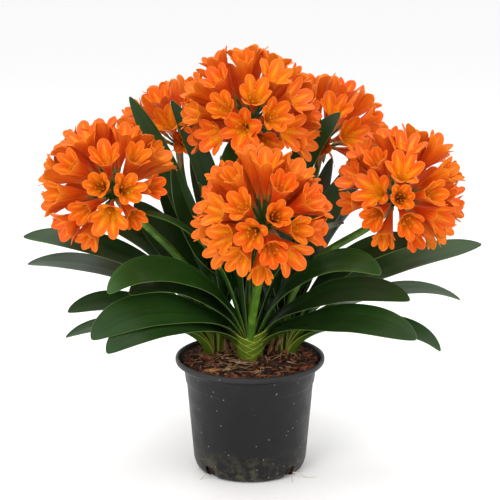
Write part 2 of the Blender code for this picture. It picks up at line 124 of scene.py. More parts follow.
def linear(hexColour):
    # sRGB hex to the linear colour that the shaders take, by the sRGB standard's own curve
    values = [int(hexColour[i : i + 2], 16) / 255 for i in (1, 3, 5)]
    return [v / 12.92 if v <= 0.04045 else ((v + 0.055) / 1.055) ** 2.4 for v in values] + [1.0]


def addNode(tree, kind, inputs=None, stops=None, out=0, **settings):
    # one node with its settings, its ramp colours, and its inputs as values, hex colours or links;
    # gives back the output that is named or numbered in out
    node = tree.nodes.new("ShaderNode" + kind)
    for name, value in settings.items():
        setattr(node, name, value)
    if stops:
        elements = node.color_ramp.elements
        while len(elements) < len(stops):
            elements.new(0.5)
        for element, (place, colour) in zip(elements, stops):
            element.position = place
            element.color = linear(colour)
    for name, value in (inputs or {}).items():
        if isinstance(value, bpy.types.NodeSocket):
            tree.links.new(value, node.inputs[name])
        elif isinstance(value, str):
            node.inputs[name].default_value = linear(value)
        else:
            node.inputs[name].default_value = value
    return node.outputs[out]


def newMaterial(piece, name, **sockets):
    # the material of this name on the piece; the tree comes back only the first time, to be filled once
    made = bpy.data.materials.get(name)
    fresh = made is None
    if fresh:
        made = bpy.data.materials.new(name)
        made.use_nodes = True
        for socket, value in sockets.items():
            made.node_tree.nodes["Principled BSDF"].inputs[socket.replace("_", " ")].default_value = value
    piece.data.materials.clear()
    piece.data.materials.append(made)
    return (made.node_tree if fresh else None), made.node_tree.nodes["Principled BSDF"]


def placeParts(tree):
    # across, along and tone of the piece's own place attribute, and whether this is a sheet's under side
    place = addNode(tree, "Attribute", out="Vector", attribute_name="place")
    across, along, mark = addNode(tree, "SeparateXYZ", {"Vector": place}).node.outputs
    tone = addNode(tree, "Math", {0: mark, 1: 10.0}, operation="FLOORED_MODULO")
    under = addNode(tree, "Math", {0: mark, 1: 5.0}, operation="GREATER_THAN")
    return across, along, tone, under


def unit(vectors):
    return vectors / np.maximum(np.linalg.norm(vectors, axis=-1, keepdims=True), 1e-9)


def smooth(value):
    value = np.clip(value, 0.0, 1.0)
    return value * value * (3 - 2 * value)


def flat(angle):
    return np.array((math.cos(angle), math.sin(angle), 0.0))


def cubic(start, leave, arrive, end, share):
    share = np.asarray(share)[:, None]
    rest = 1 - share
    return rest**3 * start + 3 * rest**2 * share * leave + 3 * rest * share**2 * arrive + share**3 * end


def pieceFrom(name, points, faces, places=None, sharp=45, slot=None, stands=()):
    # a mesh piece from points in millimetres; places go in an attribute that its material reads
    mesh = bpy.data.meshes.new(name)
    mesh.from_pydata((np.asarray(points) * mm).tolist(), [], [tuple(face) for face in faces])
    if places is not None:
        attribute = mesh.attributes.new("place", "FLOAT_VECTOR", "POINT")
        attribute.data.foreach_set("vector", np.asarray(places, np.float32).reshape(-1))
    mesh.shade_smooth()
    mesh.set_sharp_from_angle(angle=math.radians(sharp))
    piece = bpy.data.objects.new(name, mesh)
    bpy.context.scene.collection.objects.link(piece)
    finishPiece(piece, slot, stands)
    return piece


def finishPiece(piece, slot, stands):
    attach(piece, "root")
    if stands:
        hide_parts(*stands)


def sheets(grids, thickness, places):
    # closed thin sheets on grids (count, rows, columns, 3); places holds across, along and tone
    # the tone gets 10 added on the under side, so that a material can tell the two sides
    count, rows, columns, _ = grids.shape
    normal = unit(np.cross(np.gradient(grids, axis=2), np.gradient(grids, axis=1)))
    half = 0.5 * np.broadcast_to(np.asarray(thickness)[..., None], grids.shape)
    points = np.stack((grids + normal * half, grids - normal * half), axis=1).reshape(-1, 3)
    marks = np.stack((places, places + np.array((0, 0, 10.0))), axis=1).reshape(-1, 3)
    one = np.arange(rows * columns).reshape(rows, columns)
    face = np.stack((one[:-1, :-1], one[:-1, 1:], one[1:, 1:], one[1:, :-1]), axis=-1).reshape(-1, 4)
    ring = np.concatenate((one[0, :-1], one[:-1, -1], one[-1, :0:-1], one[:0:-1, 0]))
    after = np.roll(ring, -1)
    rim = np.stack((after, ring, ring + rows * columns, after + rows * columns), axis=-1)
    cell = np.concatenate((face, face[:, ::-1] + rows * columns, rim))
    faces = (cell[None] + (np.arange(count) * 2 * rows * columns)[:, None, None]).reshape(-1, 4)
    return points, faces, marks


def tubes(paths, radii, sides, tone=0.0):
    # closed round tubes along paths (count, steps, 3) with radii (count, steps)
    paths = np.asarray(paths, float)
    radii = np.broadcast_to(np.asarray(radii, float), paths.shape[:2])
    count, steps, _ = paths.shape
    tangent = unit(np.gradient(paths, axis=1))
    helper = np.where(np.abs(tangent[:, :1, 2:3]) > 0.9, np.array((1.0, 0, 0)), upward)
    side = unit(np.cross(np.broadcast_to(helper, tangent.shape), tangent))
    other = np.cross(tangent, side)
    angle = np.arange(sides) * math.tau / sides
    ring = side[:, :, None] * np.cos(angle)[:, None] + other[:, :, None] * np.sin(angle)[:, None]
    points = paths[:, :, None] + ring * radii[:, :, None, None]
    share = np.broadcast_to(np.linspace(0, 1, steps)[None, :, None], points.shape[:3])
    around = np.broadcast_to(np.arange(sides) / sides, points.shape[:3])
    marks = np.stack((around, share, np.full(points.shape[:3], tone)), axis=-1)
    one = np.arange(steps * sides).reshape(steps, sides)
    turned = np.roll(one, -1, axis=1)
    wall = np.stack((one[:-1], turned[:-1], turned[1:], one[1:]), axis=-1).reshape(-1, 4).tolist()
    cell = wall + [one[0][::-1].tolist(), one[-1].tolist()]
    faces = [[corner + n * steps * sides for corner in face] for n in range(count) for face in cell]
    return points.reshape(-1, 3), faces, marks.reshape(-1, 3)


def joined(*bodies):
    # several (points, faces, places) as one
    points, faces, places, shift = [], [], [], 0
    for bodyPoints, bodyFaces, bodyPlaces in bodies:
        points.append(bodyPoints)
        places.append(bodyPlaces)
        faces.extend([corner + shift for corner in face] for face in bodyFaces)
        shift += len(bodyPoints)
    return np.concatenate(points), faces, np.concatenate(places)


# Fans of leaves. Each row: frame node, tip, upright start, droop, width, tilt towards the camera, brightness.
# The brightness is partly the leaf's own green and partly painted light and shade: lit leaves are set
# brighter and shaded ones darker.
sheath = {"near": 9.5, "step": 1.3, "halfWidth": 14.0, "widthStep": 1.3, "wrap": 80.0, "opensOver": 110.0}
blade = {"neck": 0.6, "full": 0.6, "taper": 0.68, "channel": 4.0, "thickness": 0.95, "edge": 0.4}
blade.update({"rows": 46, "columns": 13, "wave": 0.6, "keel": 0.7, "tipPull": 0.36, "tipCrowding": 1.35,
              "lastRow": 0.9985, "turnFrom": 0.12, "turnOver": 0.45, "rollOver": 0.5, "keelHalf": 0.12,
              "waveLengths": (17, 21), "curveSteps": 161})
fans = {
    "front": {
        "place": (0, 14),
        "plane": 180,
        "first": (
            ("front_left_1", (-65, -70, 405), 130, -55, 34, 20, 0.2),
            ("front_left_2", (-135, -70, 365), 85, -10, 32, 20, 0.75),
            ("front_left_3", (-180, -90, 265), 110, 50, 46, 35, 0.6),
            ("front_left_4", (-155, -60, 255), 65, 40, 44, 30, 0.05),
            ("front_left_5", (-200, -110, 210), 70, 45, 50, 45, 0.3),
            ("front_left_6", (-180, -120, 195), 50, 45, 46, 35, 0.25),
        ),
        "second": (
            ("front_right_1", (70, 0, 395), 130, -35, 38, 0, 0.15),
            ("front_right_2", (120, -60, 350), 80, -15, 34, 20, 0.2),
            ("front_right_3", (165, -90, 290), 85, 35, 44, 35, 0.6),
            ("front_right_4", (205, -70, 250), 65, 25, 44, 35, 0.2),
            ("front_right_5", (210, -110, 210), 45, 30, 46, 40, 0.25),
        ),
    },
    "left": {
        "place": (-46, 36),
        "plane": 180,
        "first": (
            ("left_1", (-155, 50, 355), 115, -50, 48, 50, 0.1),
            ("left_2", (-220, 40, 340), 90, -10, 42, 30, 0.4),
            ("left_3", (-300, 10, 315), 100, 5, 44, 30, 0.4),
            ("left_4", (-300, 40, 270), 80, 15, 42, 20, 0.15),
            ("left_5", (-240, -20, 220), 50, 30, 42, 25, 0.25),
            ("left_6", (-250, 30, 170), 45, 35, 30, 20, 0.3),
        ),
        "second": (
            ("left_inner_1", (-160, 60, 495), 100, -60, 30, 70, 0.45),
            ("left_inner_2", (-100, -20, 420), 140, -88, 30, 70, 0.2),
            ("left_inner_3", (-105, 60, 490), 150, -55, 30, 70, 0.2),
            ("left_inner_4", (-25, -55, 455), 190, -80, 42, 15, 0.35),
        ),
    },
    "right": {
        "place": (46, 36),
        "plane": 0,
        "first": (
            ("right_1", (165, 110, 385), 75, -35, 30, -5, 0.2),
            ("right_2", (180, 70, 335), 95, 70, 34, -10, 0.1),
            ("right_3", (225, 10, 310), 75, 5, 42, 40, 0.3),
            ("right_4", (310, 30, 300), 85, -5, 44, 30, 0.55),
            ("right_5", (285, 40, 220), 60, 35, 40, 10, 0.4),
            ("right_6", (255, 0, 160), 45, 60, 40, 20, 0.3),
        ),
        "second": (
            ("right_inner_1", (170, 60, 430), 110, -50, 34, 65, 0.2),
            ("right_inner_2", (120, 50, 475), 140, -40, 38, 60, 0.2),
            ("right_inner_3", (45, 30, 475), 70, -30, 36, -15, 0.15),
        ),
    },
    "back": {
        "place": (0, 66),
        "plane": 90,
        "first": (
            ("back_1", (-40, 170, 395), 130, -10, 38, 0, 0.2),
            ("back_2", (80, 200, 350), 130, -5, 42, 0, 0.3),
            ("back_3", (-75, 240, 305), 115, 15, 44, 0, 0.25),
            ("back_4", (80, 250, 270), 85, 20, 46, 0, 0.4),
            ("back_5", (-45, 290, 235), 70, 35, 44, 0, 0.3),
            ("back_6", (60, 260, 195), 45, 40, 46, 0, 0.25),
        ),
        "second": (("back_inner_1", (0, 110, 450), 140, -75, 40, 0, 0.2),),
    },
}


# Dark leaves in the heart of the plant, with no node of their own: fan, rank, then a row as above. Their
# brightness is near nought, so their darkness is painted shade in the gaps between the fans.
# They were placed to close gaps in the front view, and they pass through their neighbours.
shadeFillLeaves = (
    ("left", 1, ("heart_1", (-80, 78, 415), 120, -65, 38, 0, 0.02)),
    ("left", 0, ("heart_2", (-125, 90, 385), 105, -60, 36, 20, 0.04)),
    ("right", 1, ("heart_3", (60, 80, 385), 110, -70, 38, 0, 0.02)),
    ("right", 0, ("heart_4", (112, 100, 405), 110, -60, 38, -10, 0.04)),
    ("back", 0, ("heart_5", (-25, 150, 385), 120, -50, 42, 0, 0.05)),
    ("back", 0, ("heart_6", (40, 160, 375), 120, -50, 42, 0, 0.05)),
    ("left", 1, ("heart_7", (-14, 60, 335), 100, -75, 42, 0, 0.03)),
    ("right", 0, ("heart_8", (116, 66, 325), 60, -50, 42, 0, 0.03)),
)


def bladeHalfWidth(share, width):
    grown = blade["neck"] + (1 - blade["neck"]) * smooth((share - 0.1) / (blade["full"] - 0.1))
    taper = np.clip((share - blade["taper"]) / (1 - blade["taper"]), 0, 1)
    return 0.5 * width * grown * np.maximum(1 - taper**2.2, 0) ** 0.65


def leafGrid(row, fan, second, order, base, rng):
    _, tip, rise, droop, width, tilt, tone = row
    rank = math.radians(fans[fan]["plane"]) + math.pi * second
    depth = sheath["near"] + sheath["step"] * order
    half = sheath["halfWidth"] + sheath["widthStep"] * order
    start = np.array((*fans[fan]["place"], base)) + depth * flat(rank)
    tip = np.array(tip, float)
    heading = math.atan2(tip[1] - start[1], tip[0] - start[0])
    pull = blade["tipPull"] * np.linalg.norm(tip - start)
    droop = math.radians(droop)
    arrive = tip - pull * (math.cos(droop) * flat(heading) - math.sin(droop) * upward)
    curve = (start, start + rise * upward, arrive, tip)
    fine = np.linspace(0, 1, blade["curveSteps"])
    length = np.concatenate(([0], np.cumsum(np.linalg.norm(np.diff(cubic(*curve, fine), axis=0), axis=1))))
    # rows lie closer together towards the rounded tip
    rows = 1 - (1 - np.linspace(0, 1, blade["rows"])) ** blade["tipCrowding"]
    rows[-1] = blade["lastRow"]
    share = np.interp(rows * length[-1], length, fine)
    centre = cubic(*curve, share)
    tangent = unit(cubic(*curve, share + 1e-3) - cubic(*curve, np.maximum(share - 1e-3, 0)))
    turn = (heading - rank + math.pi) % math.tau - math.pi
    ways = rank + turn * smooth((rows - blade["turnFrom"]) / blade["turnOver"])
    across = np.stack((-np.sin(ways), np.cos(ways), np.zeros(len(rows))), axis=1)
    across = unit(across - (across * tangent).sum(1, keepdims=True) * tangent)
    under = np.cross(across, tangent)
    rolled = smooth((rows - blade["turnFrom"]) / blade["rollOver"])[:, None]
    roll = math.radians(tilt) * math.copysign(1, math.cos(heading)) * rolled
    across, under = across * np.cos(roll) - under * np.sin(roll), under * np.cos(roll) + across * np.sin(roll)
    wrap = math.radians(sheath["wrap"])
    opened = smooth(rows * length[-1] / sheath["opensOver"])
    reach = (1 - opened) * half * math.sin(wrap) + opened * bladeHalfWidth(rows, width)
    hollow = (1 - opened) * depth * (1 - math.cos(wrap)) + opened * blade["channel"] * (1 - 0.8 * rows)
    hollow = np.minimum(hollow, reach * 2)
    columns = np.linspace(-1, 1, blade["columns"])
    angle = columns * wrap
    # each margin waves a little on its own, and the midrib is a shallow groove
    alongMm = rows * length[-1]
    phase = rng.uniform(0, math.tau, 2)
    swings = [np.sin(alongMm / span + shift) for span, shift in zip(blade["waveLengths"], phase)]
    wave = np.stack(swings, axis=1)
    wave = blade["wave"] * (smooth(rows / 0.3) * smooth((1 - rows) / 0.1))[:, None] * wave
    edge = np.where(columns[None] < 0, wave[:, :1], wave[:, 1:]) * columns[None] ** 4
    groove = blade["keel"] * np.exp(-((columns[None] / blade["keelHalf"]) ** 2))
    groove = groove * (opened * smooth((1 - rows) / 0.3))[:, None]
    sideways = reach[:, None] * np.sin(angle) / math.sin(wrap)
    raised = hollow[:, None] * (1 - np.cos(angle)) / (1 - math.cos(wrap)) + edge - groove
    grid = centre[:, None] + across[:, None] * sideways[..., None] - under[:, None] * raised[..., None]
    tones = np.full(grid.shape[:2], tone)
    marks = np.stack(np.broadcast_arrays(columns[None], rows[:, None], tones), axis=-1)
    thick = blade["edge"] + (blade["thickness"] - blade["edge"]) * (1 - np.abs(columns) ** 3)
    return grid, np.broadcast_to(thick, grid.shape[:2]), marks


def leafMaterial(piece):
    # Clivia leaf: a thick, waxy cuticle over a dark green blade with fine veins along its whole length.
    # Satin, with broad soft highlights. The margin is pale, and the sheath pales to yellow-green.
    tree, shader = newMaterial(piece, "waxyCliviaLeaf", Roughness=0.36, IOR=1.45, Specular_IOR_Level=0.3)
    if not tree:
        return
    across, along, tone, under = placeParts(tree)
    position = addNode(tree, "NewGeometry", out="Position")
    # streaks run the length of the blade: across is -1 to 1 over about 44 mm, along is 0 to 1 over about 350
    stretched = addNode(tree, "Math", {0: along, 1: 0.5}, operation="MULTIPLY")
    veinPlace = addNode(tree, "CombineXYZ", {0: across, 1: stretched, 2: tone})
    streaks = addNode(tree, "TexNoise", {
        "Vector": addNode(tree, "VectorMath", {0: veinPlace, 1: (8.0, 1.2, 3.0)}, operation="MULTIPLY"),
        "Scale": 1.0, "Detail": 5.0, "Roughness": 0.65})
    # veins 1.6 mm apart: 14 waves on each half of the blade
    fine = addNode(tree, "TexWave", {
        "Vector": veinPlace, "Scale": 4.4, "Distortion": 0.6, "Detail": 1.0}, out=1, bands_direction="X")
    blotch = addNode(tree, "TexNoise", {"Vector": position, "Scale": 16.0, "Detail": 3.0})
    # the row's brightness lightens the whole blade: partly the leaf's own green, partly painted light and
    # shade
    shade = addNode(tree, "Math", {0: streaks, 1: 0.4, 2: addNode(
        tree, "Math", {0: tone, 1: 0.5, 2: addNode(
            tree, "Math", {0: blotch, 1: 0.35, 2: -0.12}, operation="MULTIPLY_ADD")},
        operation="MULTIPLY_ADD")}, operation="MULTIPLY_ADD")
    body = addNode(tree, "ValToRGB", {"Fac": shade}, stops=[
        (0.1, "#041404"), (0.34, "#0A2608"), (0.54, "#1B440D"), (0.76, "#3C6A1A"), (1.0, "#628C2C")])
    veins = addNode(tree, "Math", {0: fine, 1: 0.10}, operation="MULTIPLY")
    veined = addNode(tree, "Mix", {0: veins, 6: body, 7: "#7FA657"}, out=2, data_type="RGBA")
    off = addNode(tree, "Math", {0: across}, operation="ABSOLUTE")
    edge = addNode(tree, "MapRange", {0: off, 1: 0.92, 2: 1.0, 3: 0.0, 4: 0.6})
    margin = addNode(tree, "Mix", {0: edge, 6: veined, 7: "#86A257"}, out=2, data_type="RGBA")
    # the sheath's own green, paler towards its foot
    foot = addNode(tree, "MapRange", {0: along, 1: 0.02, 2: 0.26, 3: 1.0, 4: 0.0},
                   interpolation_type="SMOOTHERSTEP")
    sheathGreen = addNode(tree, "ValToRGB", {"Fac": addNode(
        tree, "Math", {0: streaks, 1: 0.55, 2: addNode(
            tree, "Math", {0: edge, 1: 0.6}, operation="MULTIPLY")},
        operation="MULTIPLY_ADD")},
        stops=[(0.15, "#2A4A10"), (0.28, "#5A761A"), (0.5, "#9AA432"), (0.7, "#D6C872")])
    pale = addNode(tree, "Mix", {0: foot, 6: margin, 7: sheathGreen}, out=2, data_type="RGBA")
    # painted shade: the under side of each sheet is mixed three tenths of the way towards a dark green
    underSideShade = addNode(tree, "Math", {0: under, 1: 0.3}, operation="MULTIPLY")
    both = addNode(tree, "Mix", {0: underSideShade, 6: pale, 7: "#1E3A12"}, out=2, data_type="RGBA")
    tree.links.new(both, shader.inputs["Base Color"])
    rough = addNode(tree, "MapRange", {0: blotch, 1: 0.3, 2: 0.7, 3: 0.28, 4: 0.44})
    tree.links.new(rough, shader.inputs["Roughness"])
    bump = addNode(tree, "Bump", {"Height": fine, "Strength": 0.15, "Distance": 0.0004})
    tree.links.new(bump, shader.inputs["Normal"])


# Sheaths wrap the front fan's foot, and the stalk in it, from the left and the right in turn: each ends in
# front with a pale edge that slopes down, so that the edges cross in a V. First the outermost, lowest one.
collar = {"count": 7, "centre": 14.0, "depth": 35.6, "depthStep": 0.7, "width": 17.5, "widthStep": 0.7,
          "flare": 0.14, "flareGrowth": 0.006, "reach": 128.0, "low": 2.0, "lowStep": 4.6, "high": 16.0,
          "highStep": 4.6, "thickness": 0.5, "rows": 10, "columns": 28, "sunk": 5.0}


def makeCollars():
    grids, marks = [], []
    rows = np.linspace(0, 1, collar["rows"])[None, :]
    turn = np.linspace(0, 1, collar["columns"])[:, None]
    for k in range(collar["count"]):
        side = -1 if k % 2 else 1
        angle = math.radians(collar["reach"]) * turn
        top = collar["high"] + collar["highStep"] * k
        slope = (top - collar["low"] - collar["lowStep"] * k) * smooth(turn)
        height = rows * (top - slope + collar["sunk"]) - collar["sunk"]
        flare = collar["flare"] * height + collar["flareGrowth"] * height**2
        x = side * (collar["width"] - collar["widthStep"] * k + flare) * np.cos(angle)
        y = collar["centre"] - (collar["depth"] - collar["depthStep"] * k + 0.1 * height) * np.sin(angle)
        z = float(soilHeight(0, collar["centre"])) + height
        grids.append(np.stack((x, y, z), axis=-1)[:: side])
        across = np.broadcast_to(2 * rows - 1, x.shape)
        marks.append(np.stack((across, np.full(x.shape, 0.04), np.full(x.shape, 0.1 * k)), axis=-1)[:: side])
    grids = np.stack(grids)
    body = sheets(grids, np.full(grids.shape[:3], collar["thickness"]), np.stack(marks))
    leafMaterial(pieceFrom("frontSheaths", *body, slot="leaf"))


def makeLeaves():
    rng = np.random.default_rng(5)
    for fan, facts in fans.items():
        for second, rank in enumerate((facts["first"], facts["second"])):
            for order, row in enumerate(rank):
                node = "leaf_" + row[0]
                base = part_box(node)[0].z / mm
                grid, thick, marks = leafGrid(row, fan, second, order, base, rng)
                body = sheets(grid[None], thick[None], marks[None])
                leafMaterial(pieceFrom("leafBlade_" + row[0], *body, slot="leaf", stands=[node]))
    # the dark heart leaves, whose darkness is painted shade in the gaps
    for fan, second, row in shadeFillLeaves:
        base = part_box("root_crown_" + fan)[1].z / mm
        grid, thick, marks = leafGrid(row, fan, second, 1, base, rng)
        body = sheets(grid[None], thick[None], marks[None])
        leafMaterial(pieceFrom("leafBlade_" + row[0], *body, slot="leaf"))


# Flower heads. stand: foot of the stalk. aim: the way the head faces. spread: how far round its flowers go.
# reach: stem length at the middle and at the edge. seed: a draw with flowers nearly clear of the leaves.
# buds: closed flowers that hang from the hub, each a way and a stem length.
heads = {
    "front": {"stand": (0, -13.3), "rise": 90, "hub": (16, -124, 362), "aim": (-0.08, -0.5, 0.86),
              "count": 36, "spread": 102, "reach": (48, 18), "seed": 1, "buds": ()},
    "top": {"stand": (0, 14), "rise": 120, "hub": (1, 6, 467), "aim": (0.0, -0.1, 1.0),
            "count": 34, "spread": 104, "reach": (50, 28), "seed": 7, "buds": ()},
    "left": {"stand": (-46, 36), "rise": 111, "hub": (-175, -25, 382), "aim": (-0.58, -0.3, 0.8),
             "count": 34, "spread": 106, "reach": (48, 22), "seed": 2, "buds": (((-0.22, -0.3, -0.93), 8),)},
    "right": {"stand": (46, 36), "rise": 160, "hub": (187, -25, 373), "aim": (0.46, -0.34, 0.85),
              "count": 34, "spread": 106, "reach": (46, 20), "seed": 1, "buds": ()},
    "back_left": {"stand": (-28, 66), "rise": 110, "hub": (-97, 140, 414), "aim": (0.0, 0.1, 1.0),
                  "count": 21, "spread": 82, "reach": (40, 30), "seed": 1, "buds": ()},
    "back_right": {"stand": (28, 66), "rise": 110, "hub": (99, 135, 417), "aim": (0.15, 0.05, 1.0),
                   "count": 23, "spread": 92, "reach": (44, 30), "seed": 12, "buds": ()},
}
# Along a tepal: share of its length, distance from the flower's axis, height, half its width, cupping radius
tepal = {
    "share": (0.0, 0.18, 0.36, 0.5, 0.64, 0.78, 0.9, 1.0),
    "radius": (2.3, 4.0, 6.6, 9.8, 13.8, 18.2, 22.0, 24.6),
    "height": (0.0, 9.5, 19.5, 28.5, 37.5, 46.0, 52.5, 57.0),
    "outer": (2.0, 3.4, 5.2, 6.6, 7.6, 8.0, 7.6, 6.6),
    "inner": (2.0, 3.4, 5.4, 7.8, 9.6, 10.4, 10.0, 8.6),
    "cup": (2.3, 4.0, 6.8, 10.5, 14.0, 17.0, 20.0, 24.0),
    "rows": 14,
    "columns": 7,
    "thickness": 0.6,
    "innerGap": 0.8,
}
flower = {"size": (0.94, 1.02), "opened": (0.62, 1.1), "budSize": 0.62, "budOpened": 0.24, "budSpin": 0.4}
stamen = {"reach": (6.0, 9.5), "top": (38, 46), "radius": 0.42, "antherHalf": 1.7, "antherRadius": 0.75,
          "style": (42, 50)}
stem = {"radius": 1.55, "foot": 2.3, "neck": 1.9, "ovary": 2.7, "sag": 2.5, "jitter": 3.0}
stalk = {"radius": 5.8, "topRadius": 4.6, "hubHeight": 12.0, "gap": 0.5, "straight": 5.0, "hubPull": 0.3}
bract = {"count": 4, "length": (22, 36), "halfWidth": (3.5, 5.5), "thickness": 0.35}


def flowerPlaces(head):
    # the ways of a head's flowers, spread evenly round its aim, with stem lengths and spins
    rng = random.Random(head["seed"])
    aim = Vector(head["aim"]).normalized()
    toAim = Vector((0, 0, 1)).rotation_difference(aim).to_matrix()
    low = math.cos(math.radians(head["spread"]))
    phase = rng.uniform(0, math.tau)
    for k in range(head["count"]):
        level = 1 - (1 - low) * (k + 0.5) / head["count"]
        angle = phase + k * goldenAngle
        width = math.sqrt(1 - level * level)
        way = toAim @ Vector((width * math.cos(angle), width * math.sin(angle), level))
        share = math.acos(level) / math.radians(head["spread"])
        length = head["reach"][0] + share * (head["reach"][1] - head["reach"][0])
        yield way, length + rng.uniform(-stem["jitter"], stem["jitter"]), rng.uniform(0, math.tau)


def tepalGrids(rng, opened, tone):
    # six tepals round +Z with their neck at the origin: three narrow outer ones, three broad inner ones
    share = 1 - (1 - np.linspace(0, 1, tepal["rows"])) ** 1.6
    columns = np.linspace(-1, 1, tepal["columns"])
    grids, marks = [], []
    for k in range(6):
        inner = k % 2
        radius, height, half, cup = (
            np.interp(share, tepal["share"], tepal[key])
            for key in ("radius", "height", "inner" if inner else "outer", "cup")
        )
        widened = opened * rng.uniform(0.93, 1.07)
        spreadOut = 1 + (widened - 1) * smooth((share - 0.15) / 0.6)
        curl = rng.uniform(-1.0, 4.0) * widened * smooth((share - 0.7) / 0.3)
        height = height + (1 - spreadOut) * 14 * share - 0.8 * curl
        radius = radius * spreadOut + 0.8 * curl - tepal["innerGap"] * inner * smooth(share / 0.2)
        half = half * rng.uniform(0.95, 1.05) * np.minimum(1, 0.45 + 0.55 * widened)
        # an elliptical end with a slight point
        half = half * np.sqrt(np.maximum(1 - np.clip((share - 0.76) / 0.24, 0, 1) ** 2.4, 0.002))
        angle = columns[None] * np.minimum(half / (cup * np.minimum(1, widened)), 1.25)[:, None]
        cup = (cup * np.minimum(1, widened))[:, None]
        ruffle = 0.7 * np.sin(share * 15 + rng.uniform(0, 6)) * smooth((share - 0.45) / 0.3)
        rib = 0.5 * np.exp(-((columns[None] / 0.18) ** 2)) * smooth((1 - share) / 0.3)[:, None]
        inward = cup * (1 - np.cos(angle)) + ruffle[:, None] * columns[None] * np.abs(columns[None]) + rib
        # the cup's hollow faces the axis in the tube and tips up in the open lobe
        lift = smooth((share - 0.3) / 0.5)[:, None] * 0.6
        out = radius[:, None] - inward * (1 - 0.3 * lift)
        side = cup * np.sin(angle)
        turn = math.radians(60 * k) + rng.uniform(-0.06, 0.06)
        across, away = math.sin(turn), math.cos(turn)
        x = out * away - side * across
        y = out * across + side * away
        grids.append(np.stack((x, y, height[:, None] + inward * lift), axis=-1))
        tones = np.full(x.shape, tone)
        marks.append(np.stack(np.broadcast_arrays(columns[None], share[:, None], tones), axis=-1))
    return np.stack(grids), np.stack(marks)


def makeHead(name, head, rng):
    hub = np.array(head["hub"], float)
    aim = unit(np.array(head["aim"], float))
    petals, petalMarks, stems, ovaries, filaments, anthers, styles = [], [], [], [], [], [], []
    flowers = [(way, length, spin, False) for way, length, spin in flowerPlaces(head)]
    flowers += [(Vector(way).normalized(), length, flower["budSpin"], True) for way, length in head["buds"]]
    for way, length, spin, bud in flowers:
        facing = Vector((0, 0, 1)).rotation_difference(way).to_matrix()
        size = flower["budSize"] if bud else rng.uniform(*flower["size"])
        turn = np.array(facing @ Matrix.Rotation(spin, 3, "Z")) * size
        opened = flower["budOpened"] if bud else rng.uniform(*flower["opened"])
        way = np.array(way)
        neck = hub + way * length
        grids, marks = tepalGrids(rng, opened, rng.uniform(0, 1))
        petals.append(grids @ turn.T + neck)
        petalMarks.append(marks)
        # stems sag between hub and flower, more so where they lie level
        share = np.linspace(0, 1, 8)[:, None]
        sag = -upward * stem["sag"] * 4 * share * (1 - share) * (1 - abs(way[2]))
        stems.append(hub + way * (length - 5) * share + sag)
        ovaries.append(neck + way * np.linspace(-8, 2, 7)[:, None])
        if bud:
            continue
        for k in range(6):
            lean = math.radians(60 * k + 30) + rng.uniform(-0.2, 0.2)
            reach = rng.uniform(*stamen["reach"]) * opened
            top = rng.uniform(*stamen["top"])
            rise = np.linspace(0, 1, 6)
            side = reach * rise**1.7
            line = np.stack((side * math.cos(lean), side * math.sin(lean), 8 + (top - 8) * rise), axis=1)
            filaments.append(line @ turn.T + neck)
            swing = unit(np.array((math.cos(lean + 1.2), math.sin(lean + 1.2), rng.uniform(-0.3, 0.8))))
            along = np.linspace(-stamen["antherHalf"], stamen["antherHalf"], 5)[:, None]
            anthers.append((line[-1] + along * swing) @ turn.T + neck)
        lean = rng.uniform(0, math.tau)
        rise = np.linspace(0, 1, 7)
        bend = 4.0 * rise**2
        height = 6 + rng.uniform(*stamen["style"]) * rise
        line = np.stack((bend * math.cos(lean), bend * math.sin(lean), height), axis=1)
        styles.append(line @ turn.T + neck)
    grids = np.concatenate(petals)
    thick = tepal["thickness"] * (1 - 0.5 * np.linspace(-1, 1, tepal["columns"]) ** 2)
    body = sheets(grids, np.broadcast_to(thick, grids.shape[:3]), np.concatenate(petalMarks))
    stands = ["flower_head_" + name]
    petalMaterial(pieceFrom("tepals_" + name, *body, sharp=60, slot="petal", stands=stands))
    core = (hub + np.linspace(-6, 5, 6)[:, None] * aim)[None]
    radii = (stem["foot"], stem["radius"], stem["radius"], stem["neck"])
    stemRadii = np.interp(np.linspace(0, 1, 8), (0, 0.15, 0.8, 1), radii)
    ovaryRadii = np.array((0.6, 0.85, 0.98, 1.0, 0.95, 0.85, 0.8)) * stem["ovary"]
    green = joined(
        tubes(core, (5.2, 6.4, 7.0, 6.6, 5.4, 3.0), 16, 0.2),
        tubes(stems, stemRadii, 8, 0.3),
        tubes(ovaries, ovaryRadii, 10, 0.8),
    )
    stemMaterial(pieceFrom("flowerStems_" + name, *green, sharp=60, slot="stalk", stands=stands))
    pale = joined(
        tubes(filaments, np.linspace(stamen["radius"], 0.3, 6), 5, 0.0),
        tubes(anthers, np.array((0.35, 0.9, 1.0, 0.9, 0.35)) * stamen["antherRadius"], 6, 1.0),
        tubes(styles, np.linspace(0.5, 0.35, 7), 5, 0.5),
    )
    stamenMaterial(pieceFrom("stamens_" + name, *pale, sharp=60, slot="petal", stands=stands))
    makeBracts(name, hub, aim, rng)


